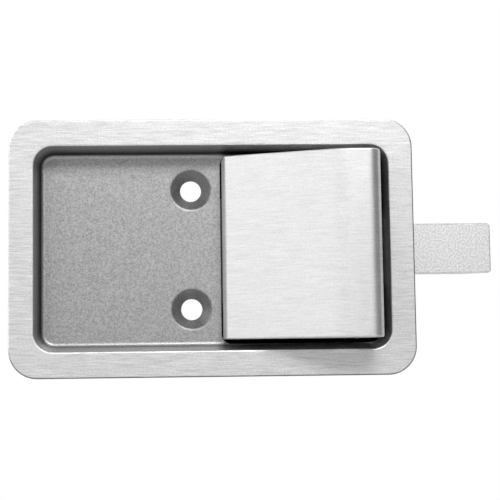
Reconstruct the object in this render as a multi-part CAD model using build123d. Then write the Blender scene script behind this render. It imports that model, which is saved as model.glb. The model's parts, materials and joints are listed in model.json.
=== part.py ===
from build123d import *
import os
from math import atan2, cos, degrees, hypot, radians, sin, tan

# Flush push-paddle latch for a cabinet, locker or vehicle door.
# Millimetres.  +X runs towards the bolt, +Y into the door, +Z up.
# Depths below are measured from the front of the face flange.  The written model is
# moved so that its origin is the centre of the flange's back face, its seat on the door.

# ---------------------------------------------------------------- pan (drawn tub with a face flange)
FLANGE_WIDTH = 120.0
FLANGE_HEIGHT = 76.4
FLANGE_CORNER = 8.5
FLANGE_EDGE_ROUND = 0.4
PAN_SHEET = 1.5
OPENING_WIDTH = 105.5
OPENING_HEIGHT = 61.0
OPENING_CORNER = 5.75
OPENING_BEND = 0.5
PAN_DEPTH = 8.0             # front face to floor
WALL_DRAFT = 11.3           # degrees
FLOOR_FILLET = 1.5
WINDOW_GAP = 0.5            # from the window's left edge to the foot of the paddle
WINDOW_MARGIN = 0.4         # between the window and the foot of the pan's walls
WINDOW_CORNER = 3.0
SCREW_X = -6.1
SCREW_SPACING = 36.0
SCREW_HOLE_RADIUS = 3.2
COUNTERSINK_RADIUS = 6.0
COUNTERSINK_ROUND = 1.2
SCREW_LAND = 1.0            # straight part of the hole below the countersink

# ---------------------------------------------------------------- case and cover behind the pan
CASE_SHEET = 1.2
CASE_LEFT = 1.2             # outer face of the case's left wall
CASE_BACK = 28.5            # rear edge of the case
CASE_CORNER = 2.5
COLLAR_FRONT = 3.6          # the case's flared collar starts here, clear of the door panel's edge
FOOT_LENGTH = 16.0
FOOT_HEIGHT = 52.0
DIMPLE_ROOM = 0.8           # clearance round the pressed screw dimples
LUG_LENGTH = 8.0
LUG_HEIGHT = 7.0
LUG_INSET = 6.0             # from the case's end walls to the screw
LUG_SIDE_INSET = 4.5        # from its top and bottom walls
COVER_SHEET = 1.2
COVER_SCREW_RADIUS = 1.5
COVER_SCREW_LENGTH = 5.0
COVER_HEAD_RADIUS = 2.8
COVER_HEAD_HEIGHT = 1.8
COVER_HEAD_BEVEL = 0.6

# ---------------------------------------------------------------- pivot
PIVOT_X = 9.0
PIVOT_Y = 4.0
PUSH_ANGLE = 20.0           # degrees of paddle travel
PIVOT_PIN_RADIUS = 2.0
PIVOT_EAR_RADIUS = 3.6
BRACKET_SHEET = 1.5
BRACKET_FRONT = 10.9
BRACKET_DEPTH = 10.1
EAR_REACH = 12.6            # right edge of the ears
SHOULDER_REACH = 3.1        # from the pivot to the left end of an ear's shoulder
STOP_GAP = 0.1              # the ramp lands on the ears' shoulders at rest
WASHER_THICKNESS = 0.6
WASHER_RADIUS = 3.4
SIDE_PLAY = 0.05            # axial play on each side of a washer
CLIP_THICKNESS = 0.7
CLIP_RADIUS = 3.3
CLIP_GROOVE = 0.4           # depth of the clip's groove in the pin
CLIP_ROOM = 0.5             # from the pin to the inside of the clip's ring
CLIP_PRONG = 1.3            # width of each of its three prongs
PIN_OVERHANG = 0.8          # pin beyond its clip
RIVET_RADIUS = 1.5
RIVET_HEAD_RADIUS = 2.3
RIVET_HEAD_HEIGHT = 1.0
RIVET_BEVEL = 0.6           # of a head's height and of its radius beyond the shank
RIVET_SPACING = 18.0
RIVET_Y = 18.6

# ---------------------------------------------------------------- paddle
PADDLE_SHEET = 1.2
PADDLE_HEIGHT = 54.4
PADDLE_LEFT = 3.65          # sharp corner of the ramp and the left lip
PADDLE_END_GAP = 3.95       # from the opening's right edge to the paddle
PADDLE_RIGHT = OPENING_WIDTH / 2 - PADDLE_END_GAP
RAMP_ANGLE = 21.5           # degrees
RAMP_START = 0.43           # depth of that corner behind the flange's face
CREST_LENGTH = 11.05        # from the end of the ramp to the paddle's right end
CREST_ROUND = 19.8
LEFT_BEND = 1.4
RIGHT_BEND = 4.0
LEFT_LEAN = 3.5             # degrees; the left lip's foot stands out
LIP_LEAN = 4.0              # degrees; the right lip's foot stands in
SIDE_ROUND = 0.5
FLOOR_GAP = 0.3             # left lip above the level of the pan's floor
RIGHT_LIP_END = 5.0
NOTCH_TOP = -4.0
NOTCH_CLEARANCE = 0.6

# ---------------------------------------------------------------- cam bracket under the paddle
CHEEK_SHEET = 1.5
CHEEK_GAP = 1.0             # from each cheek to the bolt's body
WEB_START = 17.0
WEB_INSET = 17.8            # from the paddle's right end to the web
CHEEK_TOP_INSET = 15.8      # from there to the end of the cheeks' straight top
TOOTH_INSET = 2.7           # from the paddle's right end to the teeth
TOOTH_SHOULDER_DROP = 7.0   # below the paddle's crest
TOOTH_RUN_OUT = 1.5         # cam edge past the pin's rest point
CAM_CLEARANCE = 0.05
POCKET_CLEARANCE = 0.9
POCKET_TURN = 55.0          # degrees from the cam's end to the crown of the pocket
CAM_STEPS = 6

# ---------------------------------------------------------------- bolt
BOLT_FRONT = 11.0
BOLT_THICKNESS = 6.0
BOLT_WIDTH = 15.2
BODY_WIDTH = 22.0
BOLT_TAIL = 26.0
BOLT_END = 85.6
BOLT_TRAVEL = 11.0
BEVEL_LENGTH = 8.0
BEVEL_DEPTH = 4.4
BOLT_CORNER = 1.0
BOLT_EDGE = 0.35
DRIVE_PIN_INSET = 6.9       # from the paddle's right end to the drive pin
DRIVE_PIN_RADIUS = 2.0
DRIVE_PIN_OVERHANG = 1.0    # past each cheek
ROD_RADIUS = 2.0
ROD_IN_BOLT = 8.0
ROD_END = -1.5              # left end of the guide rod at rest
RUNNING_FIT = 0.05
FIXED_FIT = 0.01

# ---------------------------------------------------------------- guide, bumper and springs
GUIDE_THICKNESS = 4.0
GUIDE_WALL = 1.3
GUIDE_REAR_WALL = 2.4
GUIDE_RIVET_RADIUS = 1.25
GUIDE_HEAD_RADIUS = 2.1
GUIDE_HEAD_HEIGHT = 0.8
GUIDE_HEAD_ROOM = 0.4       # from a rivet's head to the bolt's body, and to the guide's end
GUIDE_CORNER = 1.0
APERTURE_CLEARANCE = 0.5
BUMPER_THICKNESS = 1.0
BUMPER_RIM = 1.0
BUMPER_GAP = 0.1
SPRING_RADIUS = 2.95        # mean radius of the bolt spring's coil
SPRING_WIRE = 0.9
SPRING_TURNS = 8
SPRING_WASHER = 0.8
TORSION_WIRE = 0.9
TORSION_TURNS = 4
TORSION_RADIUS = 2.8
TORSION_START = -9.5
TORSION_TIP = 2.0           # of each leg past the point where it presses
TORSION_SEAT = 0.47         # from the middle of a leg to what it presses on
PIN_CHAMFER = 0.3
THROUGH = 8.0               # length of a cutter that passes any of the sheets

# ---------------------------------------------------------------- derived places
PAN_BACK = PAN_DEPTH + PAN_SHEET
CREST = (PADDLE_RIGHT - CREST_LENGTH - PADDLE_LEFT) * tan(radians(RAMP_ANGLE)) - RAMP_START
WALL_RUN = PAN_SHEET / cos(radians(WALL_DRAFT))
INSET = tan(radians(WALL_DRAFT))
FLOOR_HALF_WIDTH = OPENING_WIDTH / 2 - PAN_DEPTH * INSET
FLOOR_HALF_HEIGHT = OPENING_HEIGHT / 2 - PAN_DEPTH * INSET
TUB_HALF_WIDTH = OPENING_WIDTH / 2 + WALL_RUN - PAN_BACK * INSET
TUB_HALF_HEIGHT = OPENING_HEIGHT / 2 + WALL_RUN - PAN_BACK * INSET
TUB_CORNER = OPENING_CORNER + WALL_RUN - PAN_BACK * INSET
LEFT_FOOT = PADDLE_LEFT - (PAN_DEPTH - FLOOR_GAP - RAMP_START) * tan(radians(LEFT_LEAN))
WINDOW_LEFT = LEFT_FOOT - WINDOW_GAP
WINDOW_RIGHT = FLOOR_HALF_WIDTH - WINDOW_MARGIN
WINDOW_HEIGHT = 2 * (FLOOR_HALF_HEIGHT - WINDOW_MARGIN)
BOLT_CENTRE = BOLT_FRONT + BOLT_THICKNESS / 2
SHOULDER_X = TUB_HALF_WIDTH - BUMPER_THICKNESS - BUMPER_GAP
DRIVE_PIN_X = PADDLE_RIGHT - DRIVE_PIN_INSET
TOOTH_RIGHT = PADDLE_RIGHT - TOOTH_INSET
TOOTH_SHOULDER = TOOTH_SHOULDER_DROP - CREST
WEB_END = PADDLE_RIGHT - WEB_INSET
CHEEK_TOP_END = PADDLE_RIGHT - CHEEK_TOP_INSET
CHEEK_INSIDE = BODY_WIDTH / 2 + CHEEK_GAP
WEB_INSIDE = CASE_LEFT + CASE_SHEET + BRACKET_SHEET
CHEEK_OUTSIDE = CHEEK_INSIDE + CHEEK_SHEET
EAR_INSIDE = CHEEK_OUTSIDE + WASHER_THICKNESS + 2 * SIDE_PLAY
EAR_OUTSIDE = EAR_INSIDE + BRACKET_SHEET
GUIDE_RIVET_SPACING = BODY_WIDTH + 2 * (GUIDE_HEAD_RADIUS + GUIDE_HEAD_ROOM)
GUIDE_HEIGHT = GUIDE_RIVET_SPACING + 2 * (GUIDE_HEAD_RADIUS + 2 * GUIDE_HEAD_ROOM)
CAM_RATIO = BOLT_TRAVEL / radians(PUSH_ANGLE)
LUG_X = (CASE_LEFT + CASE_SHEET + LUG_INSET, TUB_HALF_WIDTH - LUG_INSET)
LUG_Z = TUB_HALF_HEIGHT - LUG_SIDE_INSET

FROM_LOW = (Align.CENTER, Align.CENTER, Align.MIN)


# ---------------------------------------------------------------- helpers
def facing_in(x, y, z):
    """Frame at a point, its own Z pointing into the door (+Y)."""
    return Plane(origin=(x, y, z), x_dir=(1, 0, 0), z_dir=(0, 1, 0))


def facing_bolt(x, y, z):
    """Frame at a point, its own Z pointing towards the bolt's nose (+X)."""
    return Plane(origin=(x, y, z), x_dir=(0, 1, 0), z_dir=(1, 0, 0))


def inward(sketch, y, depth, taper=0.0):
    """Extrude an XZ outline from depth y into the door."""
    return extrude(facing_in(0, y, 0) * sketch, depth, taper=taper)


def block(x0, x1, y0, y1, z0, z1):
    """Plain block between two corners."""
    centre = Pos((x0 + x1) / 2, (y0 + y1) / 2, (z0 + z1) / 2)
    return centre * Box(x1 - x0, y1 - y0, z1 - z0)


def level(sketch, z0, z1):
    """Extrude an XY outline between two heights."""
    return Pos(0, 0, z0) * extrude(sketch, z1 - z0)


def both_sides(solid):
    """A piece and its mirror image below the middle plane."""
    return [solid, mirror(solid, Plane.XY)]


def rounded_tub(width, height, corner, depth):
    """Drafted block with rounded corners, wide end at the flange's face."""
    return inward(RectangleRounded(width, height, corner), 0, depth, WALL_DRAFT)


def tub_skin(grow):
    """The pan's outer form, grown outwards by a sheet thickness."""
    return rounded_tub(
        OPENING_WIDTH + 2 * (WALL_RUN + grow),
        OPENING_HEIGHT + 2 * (WALL_RUN + grow),
        OPENING_CORNER + WALL_RUN + grow,
        PAN_BACK,
    )


def swing(x, y, angle):
    """A point relative to the pivot, turned about it by an angle in radians."""
    return x * cos(angle) - y * sin(angle), x * sin(angle) + y * cos(angle)


# ---------------------------------------------------------------- pan
def screw_places():
    return [(SCREW_X, side * SCREW_SPACING / 2) for side in (-1, 1)]


def screw_dimple(x, z, cut):
    """Pressed countersink: its outer skin, or the hole inside it."""
    slope = COUNTERSINK_RADIUS - SCREW_HOLE_RADIUS
    if cut:
        hole = Cone(COUNTERSINK_RADIUS, SCREW_HOLE_RADIUS, slope, align=FROM_LOW)
        hole += Cylinder(SCREW_HOLE_RADIUS, slope + 2 * SCREW_LAND, align=FROM_LOW)
        return facing_in(x, PAN_DEPTH, z).location * hole
    depth = slope + SCREW_LAND - PAN_SHEET
    base = COUNTERSINK_RADIUS + PAN_SHEET * tan(radians(22.5))
    skin = Cone(base, base - depth, depth, align=FROM_LOW)
    return facing_in(x, PAN_BACK, z).location * skin


def dimple_radius():
    return COUNTERSINK_RADIUS + PAN_SHEET * tan(radians(22.5))


def make_pan():
    flange = inward(RectangleRounded(FLANGE_WIDTH, FLANGE_HEIGHT, FLANGE_CORNER), 0, PAN_SHEET)
    rim = flange.faces().sort_by(Axis.Y)[0].outer_wire().edges()
    flange = fillet(rim, FLANGE_EDGE_ROUND)

    outside = tub_skin(0)
    floor_edges = outside.faces().sort_by(Axis.Y)[-1].edges()
    outside = fillet(floor_edges, FLOOR_FILLET + PAN_SHEET)
    hollow = rounded_tub(OPENING_WIDTH, OPENING_HEIGHT, OPENING_CORNER, PAN_DEPTH)
    hollow = fillet(hollow.faces().sort_by(Axis.Y)[-1].edges(), FLOOR_FILLET)
    pan = flange + outside - hollow
    mouth = pan.faces().sort_by(Axis.Y)[0].inner_wires()[0].edges()
    pan = fillet(mouth, OPENING_BEND)

    window = RectangleRounded(WINDOW_RIGHT - WINDOW_LEFT, WINDOW_HEIGHT, WINDOW_CORNER)
    window = Pos((WINDOW_LEFT + WINDOW_RIGHT) / 2, 0) * window
    pan -= inward(window, PAN_DEPTH - FLOOR_FILLET, 2 * PAN_SHEET + FLOOR_FILLET)

    for x, z in screw_places():
        pan += screw_dimple(x, z, cut=False)
    for x, z in screw_places():
        pan -= screw_dimple(x, z, cut=True)
    rims = [
        e for e in pan.edges().filter_by(GeomType.CIRCLE)
        if abs(e.radius - COUNTERSINK_RADIUS) < 0.01 and abs(e.center().Y - PAN_DEPTH) < 0.01
    ]
    return fillet(rims, COUNTERSINK_ROUND)


# ---------------------------------------------------------------- case and cover
def case_outline(grow, left):
    """Outline of the case behind the pan, with its left side cut straight."""
    outline = RectangleRounded(
        2 * (TUB_HALF_WIDTH + grow), 2 * (TUB_HALF_HEIGHT + grow), TUB_CORNER + grow
    )
    keep = Pos(left + FLANGE_WIDTH / 2, 0) * Rectangle(FLANGE_WIDTH, FLANGE_HEIGHT)
    outline = outline & keep
    corners = outline.vertices().group_by(Axis.X)[0]
    return fillet(corners, CASE_CORNER - CASE_SHEET + grow)


def lug_places():
    return [(x, side * LUG_Z) for x in LUG_X for side in (-1, 1)]


def make_case():
    inside = inward(case_outline(0, CASE_LEFT + CASE_SHEET), PAN_BACK, CASE_BACK - PAN_BACK)
    walls = inward(case_outline(CASE_SHEET, CASE_LEFT), PAN_BACK, CASE_BACK - PAN_BACK)
    walls -= inside

    collar = tub_skin(CASE_SHEET / cos(radians(WALL_DRAFT))) - tub_skin(0)
    collar &= block(CASE_LEFT, FLANGE_WIDTH, COLLAR_FRONT, PAN_BACK, -FLANGE_HEIGHT, FLANGE_HEIGHT)
    case = walls + collar

    foot_right = CASE_LEFT + CASE_CORNER
    foot = block(CASE_LEFT - FOOT_LENGTH, foot_right, PAN_BACK, PAN_BACK + CASE_SHEET,
                 -FOOT_HEIGHT / 2, FOOT_HEIGHT / 2)
    tips = foot.edges().filter_by(Axis.Y).group_by(Axis.X)[0]
    foot = fillet(tips, CASE_CORNER)
    for x, z in screw_places():
        hole = Cylinder(dimple_radius() + DIMPLE_ROOM, 4 * CASE_SHEET)
        foot -= facing_in(x, PAN_BACK, z).location * hole
    case += foot - inside

    for x, z in lug_places():
        centre = Pos(x, 0) * Rectangle(LUG_LENGTH, LUG_HEIGHT)
        lug = extrude(facing_in(0, CASE_BACK, z) * centre, -CASE_SHEET)
        side = 1 if z > 0 else -1
        reach = sorted((z + side * LUG_HEIGHT / 2, side * TUB_HALF_HEIGHT))
        lug += block(x - LUG_LENGTH / 2, x + LUG_LENGTH / 2, CASE_BACK - CASE_SHEET, CASE_BACK, *reach)
        case += lug
    for x, z in lug_places():
        hole = Cylinder(COVER_SCREW_RADIUS + FIXED_FIT, 4 * CASE_SHEET)
        case -= facing_in(x, CASE_BACK, z).location * hole

    case -= facing_bolt(CASE_LEFT, BOLT_CENTRE, 0).location * Cylinder(ROD_RADIUS + APERTURE_CLEARANCE, THROUGH)
    for z in (-RIVET_SPACING / 2, RIVET_SPACING / 2):
        hole = Cylinder(RIVET_RADIUS + FIXED_FIT, THROUGH)
        case -= facing_bolt(CASE_LEFT, RIVET_Y, z).location * hole
    room_z = BOLT_WIDTH / 2 + APERTURE_CLEARANCE
    case -= block(TUB_HALF_WIDTH - 1, TUB_HALF_WIDTH + 2, BOLT_FRONT - APERTURE_CLEARANCE,
                  BOLT_FRONT + BOLT_THICKNESS + APERTURE_CLEARANCE, -room_z, room_z)
    for z in (-GUIDE_RIVET_SPACING / 2, GUIDE_RIVET_SPACING / 2):
        hole = Cylinder(GUIDE_RIVET_RADIUS + FIXED_FIT, THROUGH)
        case -= facing_bolt(TUB_HALF_WIDTH, BOLT_CENTRE, z).location * hole
    return case


def make_back_cover():
    cover = inward(case_outline(CASE_SHEET, CASE_LEFT), CASE_BACK, COVER_SHEET)
    for x, z in lug_places():
        hole = Cylinder(COVER_SCREW_RADIUS + 2 * RUNNING_FIT, 4 * COVER_SHEET)
        cover -= facing_in(x, CASE_BACK, z).location * hole
    return cover


def make_cover_screws():
    screws = []
    for x, z in lug_places():
        head = Cylinder(COVER_HEAD_RADIUS, COVER_HEAD_HEIGHT, align=FROM_LOW)
        head = chamfer(head.edges().sort_by(Axis.Z)[-1], COVER_HEAD_BEVEL)
        shank = Pos(0, 0, -COVER_SCREW_LENGTH) * Cylinder(
            COVER_SCREW_RADIUS, COVER_SCREW_LENGTH, align=FROM_LOW
        )
        screws.append(facing_in(x, CASE_BACK + COVER_SHEET, z).location * (head + shank))
    return screws


# ---------------------------------------------------------------- pivot
def make_pivot_bracket():
    """U bracket on the case's left wall; its ears reach through the pan's window.

    A square shoulder on each ear stops the ramp at rest.
    """
    rear = BRACKET_FRONT + BRACKET_DEPTH
    shoulder_x = PIVOT_X - SHOULDER_REACH
    ear = make_face(Polyline(
        below_ramp(PADDLE_SHEET + STOP_GAP),
        (shoulder_x, ramp_y(shoulder_x, PADDLE_SHEET + STOP_GAP)),
        (shoulder_x, BRACKET_FRONT),
        (CASE_LEFT + CASE_SHEET, BRACKET_FRONT),
        (CASE_LEFT + CASE_SHEET, rear),
        (PIVOT_X, rear),
        (EAR_REACH, BOLT_CENTRE),
        (PIVOT_X + PIVOT_EAR_RADIUS, PIVOT_Y),
        close=True,
    ))
    ear += Pos(PIVOT_X, PIVOT_Y) * Circle(PIVOT_EAR_RADIUS)
    ear -= Pos(PIVOT_X, PIVOT_Y) * Circle(PIVOT_PIN_RADIUS + FIXED_FIT)
    bracket = block(CASE_LEFT + CASE_SHEET, WEB_INSIDE, BRACKET_FRONT, rear, -EAR_INSIDE, EAR_INSIDE)
    for side in both_sides(level(ear, EAR_INSIDE, EAR_OUTSIDE)):
        bracket += side
    bracket -= facing_bolt(CASE_LEFT, BOLT_CENTRE, 0).location * Cylinder(ROD_RADIUS + RUNNING_FIT, THROUGH)
    for z in (-RIVET_SPACING / 2, RIVET_SPACING / 2):
        hole = Cylinder(RIVET_RADIUS + FIXED_FIT, THROUGH)
        bracket -= facing_bolt(CASE_LEFT, RIVET_Y, z).location * hole
    return bracket


def rivet(shank_radius, grip, head_radius, head_height):
    """Rivet along its own Z, with a formed head at each end of its grip."""
    shank = Cylinder(shank_radius, grip, align=FROM_LOW)
    head = Cylinder(head_radius, head_height, align=FROM_LOW)
    head = chamfer(head.edges().sort_by(Axis.Z)[-1], head_height * RIVET_BEVEL,
                   (head_radius - shank_radius) * RIVET_BEVEL)
    foot = mirror(head, Plane.XY)
    return shank + foot + Pos(0, 0, grip) * head


def make_bracket_rivets():
    grip = CASE_SHEET + BRACKET_SHEET
    one = rivet(RIVET_RADIUS, grip, RIVET_HEAD_RADIUS, RIVET_HEAD_HEIGHT)
    return [
        facing_bolt(CASE_LEFT, RIVET_Y, z).location * one
        for z in (-RIVET_SPACING / 2, RIVET_SPACING / 2)
    ]


def make_pivot_pin():
    half = EAR_OUTSIDE + SIDE_PLAY + CLIP_THICKNESS + PIN_OVERHANG
    pin = Cylinder(PIVOT_PIN_RADIUS, 2 * half)
    pin = chamfer(pin.edges().filter_by(GeomType.CIRCLE), PIN_CHAMFER)
    for side in (-1, 1):
        middle = EAR_OUTSIDE + SIDE_PLAY + CLIP_THICKNESS / 2
        ring = Cylinder(PIVOT_PIN_RADIUS + 1, CLIP_THICKNESS + SIDE_PLAY)
        ring -= Cylinder(PIVOT_PIN_RADIUS - CLIP_GROOVE, CLIP_THICKNESS + SIDE_PLAY)
        pin -= Pos(0, 0, side * middle) * ring
    return Pos(PIVOT_X, PIVOT_Y, 0) * pin


def make_pivot_clips():
    """E-clips in the pin's grooves."""
    neck = PIVOT_PIN_RADIUS - CLIP_GROOVE
    face = Circle(CLIP_RADIUS) - Circle(PIVOT_PIN_RADIUS + CLIP_ROOM)
    for angle in (0, 120, 240):
        prong = Pos(PIVOT_PIN_RADIUS, 0) * Rectangle(2 * (CLIP_GROOVE + CLIP_ROOM), CLIP_PRONG)
        face += Rot(0, 0, angle) * prong
    face -= Circle(neck + FIXED_FIT)
    face -= Pos(0, CLIP_RADIUS) * Rectangle(2 * neck, 2 * CLIP_RADIUS)
    clip = Pos(PIVOT_X, PIVOT_Y) * face
    start = EAR_OUTSIDE + SIDE_PLAY
    return both_sides(level(clip, start, start + CLIP_THICKNESS))


def make_pivot_washers():
    ring = Circle(WASHER_RADIUS) - Circle(PIVOT_PIN_RADIUS + RUNNING_FIT)
    start = CHEEK_OUTSIDE + SIDE_PLAY
    return both_sides(level(Pos(PIVOT_X, PIVOT_Y) * ring, start, start + WASHER_THICKNESS))


# ---------------------------------------------------------------- paddle
def ramp_y(x, inset=0.0):
    """Depth of the ramp's surface at x, or of the face below it by an inset."""
    slope = tan(radians(RAMP_ANGLE))
    return RAMP_START - (x - PADDLE_LEFT) * slope + inset / cos(radians(RAMP_ANGLE))


def below_ramp(inset):
    """Point straight below the ramp's face from the pivot, an inset under the face."""
    reach = (PIVOT_Y - ramp_y(PIVOT_X, inset)) * cos(radians(RAMP_ANGLE))
    x, y = swing(0, -reach, radians(-RAMP_ANGLE))
    return PIVOT_X + x, PIVOT_Y + y


def left_corner(inset):
    """Where the ramp meets the left lip, or the same corner further in."""
    slope, lean = tan(radians(RAMP_ANGLE)), tan(radians(LEFT_LEAN))
    across = inset / cos(radians(LEFT_LEAN))
    down = inset / cos(radians(RAMP_ANGLE))
    x = (across - down * lean) / (1 - slope * lean)
    return PADDLE_LEFT + x, RAMP_START + down - x * slope


def paddle_outline(inset, left_end, right_end):
    """Side view of the paddle's skin, closed straight across below."""
    slope = tan(radians(RAMP_ANGLE))
    lean = radians(LIP_LEAN)
    top = inset - CREST         # the crest stands proud of the flange
    left, corner = left_corner(inset)
    knee_x = PADDLE_LEFT + (RAMP_START + inset / cos(radians(RAMP_ANGLE)) - top) / slope
    bend_x = PADDLE_RIGHT - RIGHT_BEND
    bend_y = RIGHT_BEND - CREST
    lip_x = bend_x + (RIGHT_BEND - inset) * cos(lean)
    lip_y = bend_y + (RIGHT_BEND - inset) * sin(lean)
    skin = FilletPolyline(
        (left - (left_end - corner) * tan(radians(LEFT_LEAN)), left_end),
        (left, corner),
        (knee_x, top),
        (lip_x + (lip_y - top) * tan(lean), top),
        (lip_x - (right_end - lip_y) * tan(lean), right_end),
        radius=[LEFT_BEND - inset, CREST_ROUND - inset, RIGHT_BEND - inset],
    )
    return make_face(skin + Line(skin @ 1, skin @ 0))


def make_paddle():
    half = PADDLE_HEIGHT / 2
    left_end = PAN_DEPTH - FLOOR_GAP
    skin = level(paddle_outline(0, left_end, RIGHT_LIP_END), -half, half)
    sides = [e for e in skin.edges() if abs(abs(e.center().Z) - half) < 0.01]
    bottom = [e for e in sides if e.center().Y > RIGHT_LIP_END and e.length > OPENING_WIDTH / 4]
    skin = fillet([e for e in sides if e not in bottom], SIDE_ROUND)
    inside = half - PADDLE_SHEET
    skin -= level(paddle_outline(PADDLE_SHEET, left_end + CREST, RIGHT_LIP_END + CREST), -inside, inside)
    notch = BODY_WIDTH / 2 + NOTCH_CLEARANCE
    skin -= block(PADDLE_RIGHT - 2 * RIGHT_BEND, FLANGE_WIDTH, NOTCH_TOP, CREST, -notch, notch)
    return skin


# ---------------------------------------------------------------- cam bracket
def cam_point(angle, offset):
    """Place on the cam at a push angle, in the paddle's rest frame, from the pivot."""
    dx = DRIVE_PIN_X - PIVOT_X - CAM_RATIO * angle
    dy = BOLT_CENTRE - PIVOT_Y
    nx, ny = dx, dy - CAM_RATIO
    size = hypot(nx, ny)
    return swing(dx + offset * nx / size, dy + offset * ny / size, -angle)


def cheek_outline():
    """Cheek with its pivot boss, drive tooth and open pocket for the drive pin."""
    reach = DRIVE_PIN_RADIUS + CAM_CLEARANCE
    angles = [radians(PUSH_ANGLE) * i / CAM_STEPS for i in range(CAM_STEPS + 1)]
    cam = [cam_point(a, reach) for a in angles]
    cam = [(PIVOT_X + x, PIVOT_Y + y) for x, y in cam]
    start, second = Vector(*cam[0]), Vector(*cam[1])
    tip = start + (start - second).normalized() * TOOTH_RUN_OUT

    last = Vector(*cam_point(angles[-1], 0)) + Vector(PIVOT_X, PIVOT_Y)
    end = Vector(*cam[-1])
    away = degrees(atan2((end - last).Y, (end - last).X))
    pocket = DRIVE_PIN_RADIUS + POCKET_CLEARANCE
    crown = last + Vector(pocket, 0).rotate(Axis.Z, away - POCKET_TURN)
    far = last + Vector(pocket, 0).rotate(Axis.Z, away - 2 * POCKET_TURN)

    boss_side = Vector(PIVOT_X, PIVOT_Y + PIVOT_EAR_RADIUS)
    normal = radians(90 + RAMP_ANGLE)
    touch = Vector(PIVOT_X - PIVOT_EAR_RADIUS * cos(normal), PIVOT_Y - PIVOT_EAR_RADIUS * sin(normal))
    edge = Spline([Vector(*p) for p in cam])
    outline = [
        Line(tip, start),
        edge,
        ThreePointArc(end, crown, far),
        Polyline(
            far,
            boss_side,
            Vector(PIVOT_X, PIVOT_Y),
            touch,
            Vector(PIVOT_X + 2 * PIVOT_EAR_RADIUS, ramp_y(PIVOT_X + 2 * PIVOT_EAR_RADIUS, PADDLE_SHEET)),
            Vector(CHEEK_TOP_END, ramp_y(CHEEK_TOP_END, PADDLE_SHEET)),
            Vector(TOOTH_RIGHT, TOOTH_SHOULDER),
            Vector(TOOTH_RIGHT, tip.Y),
            tip,
        ),
    ]
    face = make_face(outline) + Pos(PIVOT_X, PIVOT_Y) * Circle(PIVOT_EAR_RADIUS)
    return face - Pos(PIVOT_X, PIVOT_Y) * Circle(PIVOT_PIN_RADIUS + RUNNING_FIT)


def make_cam_bracket():
    """Two cheeks on a web that is welded flat to the underside of the paddle's ramp."""
    web = make_face(Polyline(
        (WEB_START, ramp_y(WEB_START, PADDLE_SHEET)),
        (WEB_END, ramp_y(WEB_END, PADDLE_SHEET)),
        (WEB_END, ramp_y(WEB_END, PADDLE_SHEET + CHEEK_SHEET)),
        (WEB_START, ramp_y(WEB_START, PADDLE_SHEET + CHEEK_SHEET)),
        close=True,
    ))
    bracket = level(web, -CHEEK_INSIDE, CHEEK_INSIDE)
    for cheek in both_sides(level(cheek_outline(), CHEEK_INSIDE, CHEEK_OUTSIDE)):
        bracket += cheek
    return bracket


# ---------------------------------------------------------------- bolt
def make_bolt():
    rear = BOLT_FRONT + BOLT_THICKNESS
    nose = block(SHOULDER_X - 1, BOLT_END, BOLT_FRONT, rear, -BOLT_WIDTH / 2, BOLT_WIDTH / 2)
    nose = fillet(nose.edges().filter_by(Axis.Y).group_by(Axis.X)[-1], BOLT_CORNER)
    bevel = make_face(Polyline(
        (BOLT_END - BEVEL_LENGTH, rear),
        (BOLT_END + 1, rear - BEVEL_DEPTH * (1 + 1 / BEVEL_LENGTH)),
        (BOLT_END + 1, rear + 1),
        (BOLT_END - BEVEL_LENGTH, rear + 1),
        close=True,
    ))
    nose -= level(bevel, -BOLT_WIDTH, BOLT_WIDTH)
    front = nose.faces().sort_by(Axis.Y)[0]
    ends = [e for e in front.edges() if e.center().X > SHOULDER_X]
    nose = chamfer(ends, BOLT_EDGE)
    body = block(BOLT_TAIL, SHOULDER_X, BOLT_FRONT, rear, -BODY_WIDTH / 2, BODY_WIDTH / 2)
    body = fillet(body.edges().filter_by(Axis.Y), BOLT_CORNER)
    bolt = body + nose
    bolt -= Pos(DRIVE_PIN_X, BOLT_CENTRE, 0) * Cylinder(DRIVE_PIN_RADIUS + FIXED_FIT, 2 * BODY_WIDTH)
    socket = Cylinder(ROD_RADIUS + FIXED_FIT, ROD_IN_BOLT + 0.5, align=FROM_LOW)
    bolt -= facing_bolt(BOLT_TAIL, BOLT_CENTRE, 0).location * socket
    return bolt


def make_drive_pin():
    pin = Cylinder(DRIVE_PIN_RADIUS, 2 * (CHEEK_OUTSIDE + DRIVE_PIN_OVERHANG))
    pin = chamfer(pin.edges().filter_by(GeomType.CIRCLE), PIN_CHAMFER)
    return Pos(DRIVE_PIN_X, BOLT_CENTRE, 0) * pin


def make_guide_rod():
    length = BOLT_TAIL + ROD_IN_BOLT - ROD_END
    rod = Cylinder(ROD_RADIUS, length, align=FROM_LOW)
    rod = chamfer(rod.edges().filter_by(GeomType.CIRCLE), PIN_CHAMFER)
    return facing_bolt(ROD_END, BOLT_CENTRE, 0).location * rod


def make_spring_washer():
    washer = Cylinder(SPRING_RADIUS + SPRING_WIRE, SPRING_WASHER, align=FROM_LOW)
    washer -= Cylinder(ROD_RADIUS + FIXED_FIT, 3 * SPRING_WASHER)
    return facing_bolt(BOLT_TAIL - SPRING_WASHER, BOLT_CENTRE, 0).location * washer


# ---------------------------------------------------------------- guide, bumper and springs
def guide_x():
    return TUB_HALF_WIDTH + CASE_SHEET


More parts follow.
